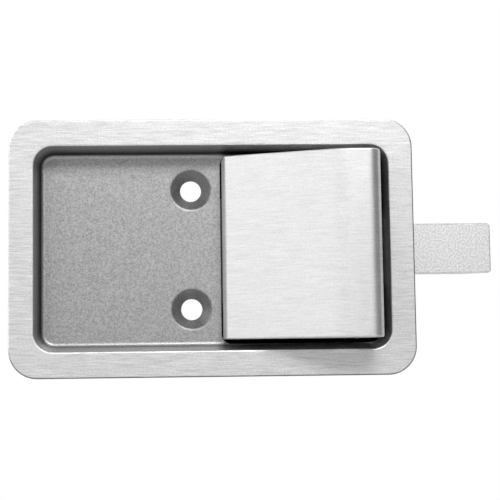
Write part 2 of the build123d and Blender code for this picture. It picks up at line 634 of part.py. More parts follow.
def make_bolt_guide():
    front = BOLT_FRONT - RUNNING_FIT - GUIDE_WALL
    rear = BOLT_FRONT + BOLT_THICKNESS + RUNNING_FIT + GUIDE_REAR_WALL
    guide = block(guide_x(), guide_x() + GUIDE_THICKNESS, front, rear, -GUIDE_HEIGHT / 2, GUIDE_HEIGHT / 2)
    guide = fillet(guide.edges().filter_by(Axis.X), GUIDE_CORNER)
    room = BOLT_WIDTH / 2 + RUNNING_FIT
    guide -= block(guide_x() - 1, guide_x() + GUIDE_THICKNESS + 1, BOLT_FRONT - RUNNING_FIT,
                   BOLT_FRONT + BOLT_THICKNESS + RUNNING_FIT, -room, room)
    for z in (-GUIDE_RIVET_SPACING / 2, GUIDE_RIVET_SPACING / 2):
        hole = Cylinder(GUIDE_RIVET_RADIUS + FIXED_FIT, 3 * GUIDE_THICKNESS)
        guide -= facing_bolt(guide_x(), BOLT_CENTRE, z).location * hole
    return guide


def make_guide_rivets():
    grip = CASE_SHEET + GUIDE_THICKNESS
    one = rivet(GUIDE_RIVET_RADIUS, grip, GUIDE_HEAD_RADIUS, GUIDE_HEAD_HEIGHT)
    return [
        facing_bolt(TUB_HALF_WIDTH, BOLT_CENTRE, z).location * one
        for z in (-GUIDE_RIVET_SPACING / 2, GUIDE_RIVET_SPACING / 2)
    ]


def make_bolt_bumper():
    """Rubber ring on the case wall that the bolt's shoulders land on."""
    room_z = BOLT_WIDTH / 2 + APERTURE_CLEARANCE
    room_y = BOLT_THICKNESS / 2 + APERTURE_CLEARANCE
    left = TUB_HALF_WIDTH - BUMPER_THICKNESS
    ring = block(left, TUB_HALF_WIDTH, BOLT_CENTRE - room_y - BUMPER_RIM,
                 BOLT_CENTRE + room_y + BUMPER_RIM, -BODY_WIDTH / 2, BODY_WIDTH / 2)
    hole = block(left - 1, TUB_HALF_WIDTH + 1, BOLT_CENTRE - room_y, BOLT_CENTRE + room_y,
                 -room_z, room_z)
    return ring - hole


def make_bolt_spring():
    """Compression spring round the guide rod, from the bracket to the bolt's tail."""
    length = BOLT_TAIL - SPRING_WASHER - WEB_INSIDE - SPRING_WIRE - 0.1
    coil = Helix(length / SPRING_TURNS, length, SPRING_RADIUS)
    wire = Plane(origin=coil @ 0, z_dir=coil % 0) * Rectangle(SPRING_WIRE * 0.9, SPRING_WIRE * 0.9)
    spring = sweep(wire, path=coil, is_frenet=True)
    return facing_bolt(WEB_INSIDE + SPRING_WIRE / 2 + 0.05, BOLT_CENTRE, 0).location * spring


def make_torsion_spring():
    """Torsion spring round the pivot pin; its legs press on the bracket's web and the ramp."""
    web_gap = PIVOT_X - WEB_INSIDE - TORSION_SEAT
    web_reach = BRACKET_FRONT + TORSION_TIP - PIVOT_Y
    start = 180 + degrees(atan2(web_gap - TORSION_RADIUS, web_reach))
    ramp_gap = hypot(PIVOT_X - below_ramp(PADDLE_SHEET)[0], PIVOT_Y - below_ramp(PADDLE_SHEET)[1]) - TORSION_SEAT
    ramp_reach = WEB_START - PIVOT_X - TORSION_TIP
    end = 270 - RAMP_ANGLE - degrees(atan2(ramp_gap - TORSION_RADIUS, ramp_reach))

    turns = TORSION_TURNS + (end - start) / 360
    pitch = TORSION_WIRE * 1.12
    coil = Helix(pitch, pitch * turns, TORSION_RADIUS)
    side = TORSION_WIRE * 0.9
    section = Rectangle(side, side)
    spring = sweep(Plane(origin=coil @ 0, z_dir=coil % 0) * section, path=coil, is_frenet=True)
    spring += extrude(Plane(origin=coil @ 0, z_dir=coil % 0) * section, -web_reach)
    spring += extrude(Plane(origin=coil @ 1, z_dir=coil % 1) * section, ramp_reach)
    return Pos(PIVOT_X, PIVOT_Y, TORSION_START) * Rot(0, 0, start) * spring


# ---------------------------------------------------------------- write
PIECES = {
    "pan": make_pan,
    "case": make_case,
    "back_cover": make_back_cover,
    "cover_screws": make_cover_screws,
    "pivot_bracket": make_pivot_bracket,
    "bracket_rivets": make_bracket_rivets,
    "pivot_pin": make_pivot_pin,
    "pivot_clips": make_pivot_clips,
    "pivot_washers": make_pivot_washers,
    "torsion_spring": make_torsion_spring,
    "bolt_guide": make_bolt_guide,
    "guide_rivets": make_guide_rivets,
    "bolt_bumper": make_bolt_bumper,
    "bolt_spring": make_bolt_spring,
    "paddle": make_paddle,
    "cam_bracket": make_cam_bracket,
    "bolt": make_bolt,
    "drive_pin": make_drive_pin,
    "guide_rod": make_guide_rod,
    "spring_washer": make_spring_washer,
}

os.makedirs("parts", exist_ok=True)
SEAT = Pos(0, -PAN_SHEET, 0)
for name, make in PIECES.items():
    piece = make()
    solids = piece if isinstance(piece, list) else [piece]
    solids = [SEAT * s.solid() for s in solids]
    export_step(solids[0] if len(solids) == 1 else Compound(children=solids), f"parts/{name}.step")
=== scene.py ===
# %% [markdown]
# A flush push-paddle latch, dressed for a product picture.
#
# The metal parts already exist as exact solids, in metres. Blender adds what a drawing
# leaves out: the brushing of the sheet, the blasted tub, round spring wire, the cross
# in a screw head, the light. Nothing that was loaded is moved or resized.

# %% Load the latch
import json
from math import cos, pi, radians, sin
import bpy
from mathutils import Matrix, Vector


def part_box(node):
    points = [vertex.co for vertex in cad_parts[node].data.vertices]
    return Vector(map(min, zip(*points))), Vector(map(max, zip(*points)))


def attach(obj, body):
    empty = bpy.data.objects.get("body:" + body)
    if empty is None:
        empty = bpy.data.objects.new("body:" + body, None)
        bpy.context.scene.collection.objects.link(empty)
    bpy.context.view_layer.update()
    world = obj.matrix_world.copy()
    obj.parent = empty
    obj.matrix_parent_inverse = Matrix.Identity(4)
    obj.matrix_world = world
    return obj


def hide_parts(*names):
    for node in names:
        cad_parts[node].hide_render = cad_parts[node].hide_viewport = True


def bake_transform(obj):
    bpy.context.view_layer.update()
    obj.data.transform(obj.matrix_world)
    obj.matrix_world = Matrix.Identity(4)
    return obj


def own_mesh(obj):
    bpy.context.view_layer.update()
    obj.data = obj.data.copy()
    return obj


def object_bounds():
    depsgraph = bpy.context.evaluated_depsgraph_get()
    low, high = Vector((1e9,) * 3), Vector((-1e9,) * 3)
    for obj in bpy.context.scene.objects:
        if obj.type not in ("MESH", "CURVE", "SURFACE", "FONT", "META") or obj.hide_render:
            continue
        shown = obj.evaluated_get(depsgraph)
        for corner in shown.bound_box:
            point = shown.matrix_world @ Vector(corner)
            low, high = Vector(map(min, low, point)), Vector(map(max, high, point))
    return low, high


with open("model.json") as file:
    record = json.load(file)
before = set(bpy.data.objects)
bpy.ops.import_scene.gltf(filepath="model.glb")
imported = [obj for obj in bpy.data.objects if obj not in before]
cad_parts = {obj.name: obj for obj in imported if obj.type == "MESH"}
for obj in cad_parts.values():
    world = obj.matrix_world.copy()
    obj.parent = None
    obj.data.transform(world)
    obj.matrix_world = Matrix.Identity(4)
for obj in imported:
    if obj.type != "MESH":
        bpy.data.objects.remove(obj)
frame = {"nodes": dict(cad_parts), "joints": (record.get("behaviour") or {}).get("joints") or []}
cad_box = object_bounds()
nodes = frame["nodes"]
MM = 0.001
print("nodes:", len(nodes))
print("box in mm:", [[round(v / MM, 1) for v in corner] for corner in cad_box])

# %% [markdown]
# Every colour is written the way a paint chart gives it, as an sRGB hex value. Shaders
# want linear light, so one function converts it. The steels are neutral greys: what
# makes them look like steel is their finish and the light, not their hue.

# %% Colours


def linear(hex_colour):
    """The four channels of an sRGB hex colour, in linear light."""
    channels = [int(hex_colour[i:i + 2], 16) / 255 for i in (1, 3, 5)]
    lit = [c / 12.92 if c <= 0.04045 else ((c + 0.055) / 1.055) ** 2.4 for c in channels]
    return lit + [1.0]


STAINLESS = linear("#dcdcdc")
POLISHED = linear("#e2e2e2")
BLASTED = linear("#acacac")
print("stainless in linear light:", [round(c, 3) for c in STAINLESS])

# %% [markdown]
# A material is a tree of nodes. It could be wired by hand in the shader editor; written
# down, it can be read and changed. One small helper adds a node with its settings and
# its links. An input is named, or given in order, and takes a value or whatever node
# feeds it, so a material reads from top to bottom.

# %% Node helper


def add_node(material, kind, settings=None, inputs=None):
    """Add a node; inputs come by name or in order, as values, nodes or their outputs."""
    tree = material.node_tree
    node = tree.nodes.new(kind)
    for name, value in (settings or {}).items():
        setattr(node, name, value)
    pairs = enumerate(inputs) if isinstance(inputs, tuple) else (inputs or {}).items()
    for name, value in pairs:
        if isinstance(value, bpy.types.Node):
            value = value.outputs[0]
        if isinstance(value, bpy.types.NodeSocket):
            tree.links.new(value, node.inputs[name])
        else:
            node.inputs[name].default_value = value
    return node


def new_material(name):
    material = bpy.data.materials.new(name)
    material.use_nodes = True
    material.node_tree.nodes.clear()
    return material


def finish_material(material, shader):
    add_node(material, "ShaderNodeOutputMaterial", inputs={"Surface": shader})
    print("material", material.name, "has", len(material.node_tree.nodes), "nodes")
    return material


def dress(names, material):
    for name in names:
        mesh = nodes[name].data
        mesh.materials.clear()
        mesh.materials.append(material)
    print(material.name, "is on", ", ".join(names))


# %% [markdown]
# All the metals here share three moves. A grain is a noise whose cells have a real size
# along each axis of the piece, so it stays on the metal when the piece moves. Layers are
# patterns turned into shades around 1 and multiplied, as wear and scratches lie over
# each other on real sheet. A coat puts colour, roughness and relief together. A picture
# of steel could do the same, but it would stretch round every bend.

# %% Grain, layers and coat
NOISE_LOW, NOISE_HIGH = 0.3, 0.7        # nearly all of a noise lies between these


def grain(material, width, length=None, detail=3.0, roughness=0.5):
    """A noise with cells of this width along Z, and this length along X and Y."""
    length = length or width
    scaled = add_node(material, "ShaderNodeMapping", inputs={
        "Vector": add_node(material, "ShaderNodeTexCoord").outputs["Object"],
        "Scale": (1 / length, 1 / length, 1 / width),
    })
    return add_node(
        material, "ShaderNodeTexNoise",
        inputs={"Vector": scaled, "Scale": 1.0, "Detail": detail, "Roughness": roughness},
    )


def noise_to(pattern, low, high):
    """A noise as a layer that runs from low to high."""
    return (pattern, NOISE_LOW, NOISE_HIGH, low, high)


def layers(material, *patterns):
    """Multiply shades. A row of five is a pattern, its own range and the range wanted."""
    shade = None
    for pattern in patterns:
        if isinstance(pattern, tuple):
            pattern = add_node(material, "ShaderNodeMapRange", inputs=pattern)
        if shade:
            pattern = add_node(
                material, "ShaderNodeMath", {"operation": "MULTIPLY"}, (shade, pattern)
            )
        shade = pattern
    return shade


def coat(material, colour, shade, roughness, height, distance, strength, metallic=1.0):
    """A surface: a colour under a shade, a roughness, and a height that raises it."""
    if shade:
        colour = add_node(
            material, "ShaderNodeVectorMath", {"operation": "SCALE"},
            {0: colour[:3], "Scale": shade},
        )
    bump = add_node(
        material, "ShaderNodeBump",
        inputs={"Height": height, "Distance": distance, "Strength": strength},
    )
    return add_node(
        material, "ShaderNodeBsdfPrincipled",
        inputs={"Base Color": colour, "Roughness": roughness, "Metallic": metallic,
                "Normal": bump},
    )


print("a noise is taken to run from", NOISE_LOW, "to", NOISE_HIGH)

# %% [markdown]
# Some painted shades and highlights belong to a place: a bend, an outer edge, the foot
# of a wall. The piece could be painted by hand there; here its own coordinates say where a
# shade begins and ends, in millimetres from its box, so the shade follows when a size is changed.

# %% Places on a piece


def where(material):
    """The piece's own X, Y and Z, as outputs."""
    point = add_node(material, "ShaderNodeTexCoord").outputs["Object"]
    return add_node(material, "ShaderNodeSeparateXYZ", inputs={"Vector": point}).outputs


def shade_along(material, distance, places):
    """A shade that changes over a distance: pairs of place and shade, in order."""
    start, end = places[0][0], places[-1][0]
    along = add_node(material, "ShaderNodeMapRange", inputs=(distance, start, end, 0.0, 1.0))
    ramp = add_node(material, "ShaderNodeValToRGB", inputs={"Fac": along})
    for _ in places[2:]:
        ramp.color_ramp.elements.new(0.5)
    for element, (place, grey) in zip(ramp.color_ramp.elements, places):
        element.position = (place - start) / (end - start)
        element.color = (grey, grey, grey, 1.0)
    return ramp


def past_corner(material, low, high, corner):
    """Distance from the flat middle of a box that is rounded when seen from the front.

    On the rounded outline itself it is the corner's radius.
    """
    centre = 0.5 * (low + high)
    flat = 0.5 * (high - low) - Vector((corner, 0, corner))
    any_depth = 1.0
    point = add_node(material, "ShaderNodeTexCoord").outputs["Object"]
    for operation, value in (
        ("SUBTRACT", centre), ("ABSOLUTE", (0, 0, 0)),
        ("SUBTRACT", (flat.x, any_depth, flat.z)), ("MAXIMUM", (0, 0, 0)),
    ):
        point = add_node(
            material, "ShaderNodeVectorMath", {"operation": operation}, (point, Vector(value))
        )
    length = add_node(material, "ShaderNodeVectorMath", {"operation": "LENGTH"}, {0: point})
    return length.outputs["Value"]


def painted_edge_shade(material, name, band, grey):
    """Painted shade on the edges: darker along the low side and the right end of a node."""
    low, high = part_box(name)
    place = where(material)
    return layers(
        material, (place["Z"], low.z, low.z + band, grey, 1.0),
        (place["X"], high.x - band, high.x, 1.0, grey),
    )


# %% [markdown]
# Brushed stainless steel is sheet that was drawn under an abrasive belt. The belt leaves
# scratches a few hundredths of a millimetre wide and many millimetres long, all along
# one direction, and they spread every highlight across the brushing. They are stretched
# noise: cells squeezed across the brushing and long along it. Real scratches are too
# fine to show, so they are drawn coarser. Wider, fainter streaks come from uneven
# pressure of the belt, and small pits are the grain of the sheet that shows through.

# %% Brushed sheet
SCRATCH_WIDTH, SCRATCH_LENGTH = 0.22 * MM, 5.0 * MM
STREAK_WIDTH, STREAK_LENGTH = 0.7 * MM, 7.0 * MM
PIT = 0.5 * MM
SCRATCH_SWING = (-0.13, 0.09)           # darkest and brightest, around a shade of 1
STREAK_SWING = (-0.035, 0.03)
PIT_SWING = (-0.09, 0.06)
BRUSHED_ROUGHNESS = (0.48, 0.56)
BRUSHED_RELIEF = (0.01 * MM, 0.15)      # height of a scratch, and how strongly it shows


def brushed_layer(material, contrast):
    """Shade, roughness and height of brushed sheet."""
    scratches = grain(material, SCRATCH_WIDTH, SCRATCH_LENGTH)
    streaks = grain(material, STREAK_WIDTH, STREAK_LENGTH, detail=2.0)
    pits = grain(material, PIT)
    swings = ((scratches, SCRATCH_SWING), (streaks, STREAK_SWING), (pits, PIT_SWING))
    shade = layers(material, *[
        noise_to(pattern, 1 + dark * contrast, 1 + bright * contrast)
        for pattern, (dark, bright) in swings
    ])
    return shade, layers(material, noise_to(scratches, *BRUSHED_ROUGHNESS)), scratches


print("scratches in mm:", round(SCRATCH_WIDTH / MM, 2), "x", round(SCRATCH_LENGTH / MM, 1))

# %% [markdown]
# The paddle is the piece that hands touch, so it has the finer finish. Its right end is
# folded down over a bend. A painted shade darkens a narrow band along the bend, and a
# painted highlight brightens it again near the very end. The band could be painted;
# a shade that runs along X, in steps from the right end, does it with six numbers.

# %% Paddle
PADDLE_CONTRAST = 0.8
# Painted shade and highlight on the bend: mm from the right end, and shade.
PAINTED_BEND_SHADES = ((3.2, 1.0), (2.4, 0.8), (1.3, 0.72), (1.0, 0.95), (0.5, 0.9), (0.0, 0.8))


def make_brushed_stainless():
    material = new_material("brushed_stainless")
    shade, roughness, height = brushed_layer(material, PADDLE_CONTRAST)
    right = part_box("paddle")[1].x
    # Painted shade along the bend, with a painted highlight near the end.
    painted_bend = shade_along(
        material, where(material)["X"], [(right - gap * MM, grey) for gap, grey in PAINTED_BEND_SHADES]
    )
    surface = coat(
        material, POLISHED, layers(material, shade, painted_bend), roughness, height, *BRUSHED_RELIEF
    )
    return finish_material(material, surface)


dress(["paddle"], make_brushed_stainless())

# %% [markdown]
# The face plate is one pressing with two finishes. Its flange was brushed after forming,
# with a coarser belt than the paddle. A painted highlight makes a thin bright line on the
# bend at the tub's rim, with a painted shade just past it. A painted shade darkens the
# outer edge along the low side and the right end. Both are narrower than any face of the
# sheet, so they are shades laid over the brushing and not materials of their own.

# %% Face flange
PAN_LOW, PAN_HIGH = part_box("pan")
FLANGE_FACE = PAN_LOW.y
FLANGE_CONTRAST = 1.3
FLANGE_CORNER = 8.5 * MM
# Width and grey of the painted shade on the flange's outer edge.
EDGE_SHADE_WIDTH = 0.45 * MM
EDGE_SHADE_GREY = 0.2
LOW_SIDE_FADE = (PAN_LOW.z + 5 * MM, PAN_LOW.z + 9 * MM)
RIGHT_END_FADE = (PAN_HIGH.x - 9 * MM, PAN_HIGH.x - 2 * MM)
# Painted highlight on the rim's bend, then painted shade: depth in mm behind the face, and shade.
PAINTED_RIM_SHADES = ((0.0, 1.0), (0.01, 1.0), (0.03, 1.3), (0.15, 1.3), (0.4, 0.8))


def brushed_flange(material, place):
    shade, roughness, height = brushed_layer(material, FLANGE_CONTRAST)
    # Painted highlight and shade on the bend at the tub's rim.
    rim_highlight = shade_along(
        material, place["Y"], [(FLANGE_FACE + depth * MM, grey) for depth, grey in PAINTED_RIM_SHADES]
    )
    low_side = layers(material, (place["Z"], *LOW_SIDE_FADE, 1.0, 0.0))
    right_end = layers(material, (place["X"], *RIGHT_END_FADE, 0.0, 1.0))
    sides = add_node(material, "ShaderNodeMath", {"operation": "MAXIMUM"}, (low_side, right_end))
    edge = past_corner(material, PAN_LOW, PAN_HIGH, FLANGE_CORNER)
    # Painted shade on the outer edge along the low side and the right end.
    flange_edge_shade = layers(material, sides, (
        edge, FLANGE_CORNER - EDGE_SHADE_WIDTH, FLANGE_CORNER - 0.5 * EDGE_SHADE_WIDTH, 0.0, 1.0
    ))
    shade = layers(material, shade, rim_highlight, (flange_edge_shade, 0.0, 1.0, 1.0, EDGE_SHADE_GREY))
    return coat(material, STAINLESS, shade, roughness, height, *BRUSHED_RELIEF)


print("flange's face at y, mm:", round(FLANGE_FACE / MM, 2))

# %% [markdown]
# The tub keeps the dull skin of sheet that was blasted with grit. Blasting leaves dents
# side by side with no direction, so light scatters the same way all round: fine, even
# noise and a high roughness. A painted shade darkens each wall towards its foot, nearly
# black at the foot, up to where the floor begins, except on the low wall; it also darkens
# the pressed dimples round the screws. A painted light brightens the top and right walls
# beside the paddle, and a painted shade darkens the pan's low and right edges.

# %% Blasted tub
GRIT = 0.45 * MM
FLOOR_FACE = FLANGE_FACE + 8.0 * MM
GRIT_SHADES = (0.7, 1.3)
# Painted light: how much brighter the walls beside the paddle are made.
PAINTED_WALL_LIGHT = 1.9
# Width and grey of the painted shade on the pan's low and right edges.
TUB_EDGE_SHADE_BAND, TUB_EDGE_SHADE = 0.2 * MM, 0.35
LOW_WALL_FADE = (PAN_LOW.z + 8 * MM, PAN_LOW.z + 14 * MM)
TOP_WALL_FADE = (PAN_HIGH.z - 12 * MM, PAN_HIGH.z - 9 * MM)
RIGHT_WALL_FADE = (PAN_HIGH.x - 12 * MM, PAN_HIGH.x - 5 * MM)
BESIDE_PADDLE_FADE = (0.0, 8 * MM)
ABOVE_FOOT_FADE = (FLOOR_FACE - 3 * MM, FLOOR_FACE - 1.8 * MM)
BLASTED_ROUGHNESS = (0.44, 0.54)
BLASTED_RELIEF = (0.05 * MM, 0.5)
# Painted shade by depth behind the flange's face: place, and shade.
PAINTED_DEPTH_SHADES = [
    (FLANGE_FACE, 1.05), (FLANGE_FACE + 3 * MM, 0.8),                    # wall
    (FLOOR_FACE - 1.6 * MM, 0.14), (FLOOR_FACE - 0.7 * MM, 0.14),        # its foot
    (FLOOR_FACE - 0.1 * MM, 0.95), (FLOOR_FACE, 1.0),                    # floor
    (FLOOR_FACE + 0.08 * MM, 0.55), (FLOOR_FACE + 0.5 * MM, 0.64),       # dimples
]


def blasted_tub(material, place):
    grit = grain(material, GRIT, roughness=0.6)
    # Painted shade by depth, switched off on the low wall.
    depth = shade_along(material, place["Y"], PAINTED_DEPTH_SHADES)
    above_low_wall = layers(material, (place["Z"], *LOW_WALL_FADE, 0.0, 1.0))
    painted_depth_shade = add_node(
        material, "ShaderNodeMix", {"data_type": "FLOAT"}, {0: above_low_wall, 2: 1.0, 3: depth}
    )
    # Painted light on the top wall towards its right and on the right wall, above their foot.
    top_wall = layers(
        material, (place["Z"], *TOP_WALL_FADE, 0.0, 1.0),
        (place["X"], *BESIDE_PADDLE_FADE, 0.0, 1.0),
    )
    right_wall = layers(material, (place["X"], *RIGHT_WALL_FADE, 0.0, 1.0))
    walls = add_node(material, "ShaderNodeMath", {"operation": "MAXIMUM"}, (top_wall, right_wall))
    painted_wall_light = layers(material, walls, (place["Y"], *ABOVE_FOOT_FADE, 1.0, 0.0))
    shade = layers(
        material, noise_to(grit, *GRIT_SHADES), painted_depth_shade, (painted_wall_light, 0.0, 1.0, 1.0, PAINTED_WALL_LIGHT),
        painted_edge_shade(material, "pan", TUB_EDGE_SHADE_BAND, TUB_EDGE_SHADE),
    )
    roughness = layers(material, noise_to(grit, *BLASTED_ROUGHNESS))
    return coat(material, BLASTED, shade, roughness, grit, *BLASTED_RELIEF)


print("floor of the tub at y, mm:", round(FLOOR_FACE / MM, 2))

# %% [markdown]
# Both finishes are on the same sheet and meet at the bend round the opening. The sheet
# could be cut into two pieces there, but the pressing has no seam. Instead the depth
# behind the flange's face decides which of the two coats shows.

# %% Pan
OPENING_BEND = 0.5 * MM


def make_pan_steel():
    material = new_material("pan_brushed_and_blasted")
    place = where(material)
    inside = layers(material, (
        place["Y"], FLANGE_FACE + 0.5 * OPENING_BEND, FLANGE_FACE + OPENING_BEND, 0.0, 1.0
    ))
    both = add_node(
        material, "ShaderNodeMixShader",
        inputs=(inside, brushed_flange(material, place), blasted_tub(material, place)),
    )
    return finish_material(material, both)


dress(["pan"], make_pan_steel())

# %% [markdown]
# The other parts are plain shop finishes. The bolt is rolled bar with its mill skin: a
# bright grey with a fine speckle, and a painted shade along its low side and right end.
# The brackets have zinc plate in a dark grey, a painted shade for the gaps they sit in,
# the pins and rivets are bright from grinding, the clips are dark from phosphating, the
# washers and the guide are moulded nylon, the bumper is rubber. They share one recipe: a
# colour, a roughness and a fine grain that varies both a little.

# %% Shop finishes
FINISHES = {
    "mill_finish_bar": dict(hex_colour="#e9e9e9", rough=0.45, grain_mm=0.5, contrast=0.25,
                            relief=0.03, edge_shade_of="bolt"),
    # Painted shade: the brackets' zinc is a dark grey, so they read dark in the gaps they sit in.
    "dull_zinc_plate": dict(hex_colour="#77797b", rough=0.5, grain_mm=0.8),
    "ground_steel": dict(hex_colour="#c4c4c4", rough=0.25, grain_mm=0.6),
    "phosphated_spring_steel": dict(hex_colour="#3a3a3b", rough=0.45, grain_mm=0.4),
    "natural_nylon": dict(hex_colour="#e2ded2", rough=0.45, grain_mm=0.5, metallic=0.0),
    "black_nylon": dict(hex_colour="#232323", rough=0.5, grain_mm=0.5, metallic=0.0),
    "black_rubber": dict(hex_colour="#1a1a1a", rough=0.75, grain_mm=0.4, metallic=0.0),
}
PIECES = {
    "mill_finish_bar": ["bolt"],
    "dull_zinc_plate": ["pivot_bracket", "cam_bracket"],
    "ground_steel": ["pivot_pin", "drive_pin", "guide_rod", "spring_washer", "bracket_rivets",
                     "guide_rivets"],
    "phosphated_spring_steel": ["pivot_clips"],
    "natural_nylon": ["pivot_washers"],
    "black_nylon": ["bolt_guide"],
    "black_rubber": ["bolt_bumper"],
}
# Width and grey of the painted shade on the bolt's low and right edges.
BOLT_EDGE_SHADE_BAND, BOLT_EDGE_SHADE = 0.35 * MM, 0.3
ROUGHNESS_SPREAD = 0.05
GRAIN_STRENGTH = 0.5


def make_shop_finish(
    name, hex_colour, rough, grain_mm, metallic=1.0, contrast=0.08, relief=0.02, edge_shade_of=None
):
    material = new_material(name)
    speckle = grain(material, grain_mm * MM)
    shade = layers(material, noise_to(speckle, 1 - contrast, 1 + contrast))
    # Painted shade along the low side and the right end of the named piece.
    if edge_shade_of:
        edge = painted_edge_shade(material, edge_shade_of, BOLT_EDGE_SHADE_BAND, BOLT_EDGE_SHADE)
        shade = layers(material, shade, edge)
    roughness = layers(
        material, noise_to(speckle, rough - ROUGHNESS_SPREAD, rough + ROUGHNESS_SPREAD)
    )
    surface = coat(
        material, linear(hex_colour), shade, roughness, speckle, relief * MM, GRAIN_STRENGTH,
        metallic,
    )
    return finish_material(material, surface)


for finish, recipe in FINISHES.items():
    dress(PIECES[finish], make_shop_finish(finish, **recipe))

# %% [markdown]
# The case and its cover are zinc-plated sheet. Zinc grows in flat crystals, called
# spangle, that catch the light one by one: a cell pattern with a slightly different grey
# in each cell. Inside, the case gets a painted shade that is nearly black, so the deep
# gaps stay dark. A second material would need its own faces; the cover's box, made
# smaller by half a sheet, says just as well where the inside is.

# %% Case
SPANGLE = 2.2 * MM
ZINC = linear("#b4b7ba")
INSIDE_SHADE_BLACK = linear("#141414")
CASE_SHEET = 1.2 * MM
CASE_CORNER = 6.6 * MM
SPANGLE_SHADES = (0.9, 1.06)
DUST_SHADES = (0.96, 1.04)
UNSHADED_WALL = 0.5 * CASE_SHEET           # from outside, how deep a wall stays free of the painted shade
SHADED_COVER_DEPTH = 0.3 * CASE_SHEET        # from inside, how deep the cover takes the painted shade
ZINC_ROUGHNESS = (0.4, 0.5)
ZINC_RELIEF = (0.02 * MM, 0.4)


def inside_case(material):
    """1 inside the case, 0 on its outer faces."""
    low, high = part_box("back_cover")
    limits = [
        (past_corner(material, low, high, CASE_CORNER), CASE_CORNER - UNSHADED_WALL),
        (where(material)["Y"], low.y + SHADED_COVER_DEPTH),
    ]
    return layers(material, *[
        add_node(material, "ShaderNodeMath", {"operation": "LESS_THAN"}, limit)
        for limit in limits
    ])


def make_case_zinc():
    material = new_material("zinc_plate_greased_inside")
    place = add_node(material, "ShaderNodeTexCoord").outputs["Object"]
    scaled = add_node(
        material, "ShaderNodeMapping", inputs={"Vector": place, "Scale": (1 / SPANGLE,) * 3}
    )
    cells = add_node(material, "ShaderNodeTexVoronoi", inputs={"Vector": scaled, "Scale": 1.0})
    cell = add_node(
        material, "ShaderNodeSeparateXYZ", inputs={"Vector": cells.outputs["Color"]}
    )
    dust = grain(material, GRIT)
    shade = layers(
        material, (cell, 0.0, 1.0, *SPANGLE_SHADES), noise_to(dust, *DUST_SHADES)
    )
    zinc = add_node(
        material, "ShaderNodeVectorMath", {"operation": "SCALE"}, {0: ZINC[:3], "Scale": shade}
    )
    # Painted shade: the inside of the case is nearly black.
    mixed = add_node(
        material, "ShaderNodeMix", {"data_type": "RGBA"},
        {0: inside_case(material), 6: zinc, 7: INSIDE_SHADE_BLACK},
    )
    roughness = layers(material, noise_to(dust, *ZINC_ROUGHNESS))
    surface = coat(material, mixed.outputs[2], None, roughness, dust, *ZINC_RELIEF)
    return finish_material(material, surface)


dress(["case", "back_cover"], make_case_zinc())

# %% [markdown]
# Three things in the latch deserve more than their plain solids: two wound springs, whose
# real wire is round, and the screws of the cover, which have a domed head and a cross
# for the screwdriver. Each starts as one primitive and is shaped from there, as by hand.
# First come the small helpers that all of them need: starting clean, selecting by place,
# applying a modifier, and leaving the finished piece's origin at the latch's origin.

# %% Modelling helpers
PARTS = {"VERT": "vertices", "EDGE": "edges", "FACE": "polygons"}
SAME_PLACE = 0.001 * MM
SHARP_ANGLE = radians(35)               # edges bent more than this stay sharp


def only(piece):
    """Make one piece the selected and active one."""
    bpy.ops.object.select_all(action="DESELECT")
    piece.select_set(True)
    bpy.context.view_layer.objects.active = piece


def pick(piece, kind, test=None):
    """Go into edit mode with all parts selected, or only those that pass a test."""
    only(piece)
    bpy.ops.object.mode_set(mode="EDIT")
    bpy.ops.mesh.select_mode(type=kind)
    bpy.ops.mesh.select_all(action="DESELECT" if test else "SELECT")
    if test:
        bpy.ops.object.mode_set(mode="OBJECT")
        for part in getattr(piece.data, PARTS[kind]):
            part.select = test(part)
        bpy.ops.object.mode_set(mode="EDIT")


def leave_edit():
    bpy.ops.object.mode_set(mode="OBJECT")


def merge_and_face_out():
    """Weld what lies in the same place and turn all faces outwards."""
    bpy.ops.mesh.remove_doubles(threshold=SAME_PLACE)
    bpy.ops.mesh.normals_make_consistent(inside=False)


def apply_modifier(piece, kind, **settings):
    only(piece)
    modifier = piece.modifiers.new(kind.lower(), kind)
    for name, value in settings.items():
        setattr(modifier, name, value)
    bpy.ops.object.modifier_apply(modifier=modifier.name)


def join(pieces):
    bpy.ops.object.select_all(action="DESELECT")
    for piece in pieces:
        piece.select_set(True)
    bpy.context.view_layer.objects.active = pieces[0]
    bpy.ops.object.join()
    return bpy.context.object


def settle(piece, name, material):
    """Finish a piece: its place goes into its mesh, its normals point outwards."""
    piece.name = piece.data.name = name
    pick(piece, "VERT")
    merge_and_face_out()
    leave_edit()
    bpy.ops.object.transform_apply(location=True, rotation=True, scale=True)
    bpy.ops.object.shade_smooth_by_angle(angle=SHARP_ANGLE)
    piece.data.materials.clear()
    piece.data.materials.append(material)
    low = [min(v.co[i] for v in piece.data.vertices) / MM for i in range(3)]
    high = [max(v.co[i] for v in piece.data.vertices) / MM for i in range(3)]
    print(name, len(piece.data.polygons), "faces, mm:", [round(v, 2) for v in low + high])


print("helpers ready, points closer than", round(SAME_PLACE / MM, 3), "mm are merged")

# %% [markdown]
# Spring wire is drawn round and bent cold round a rod. A curve with a round bevel could
# stand for it, but the springs have ground ends and straight legs that need real faces.
# So a ring of wire is drawn once and swept along the helix by the Screw modifier.

# %% Wound wire
WIRE = 0.9 * MM
RING_SIDES = 12
TURN_STEPS = 28


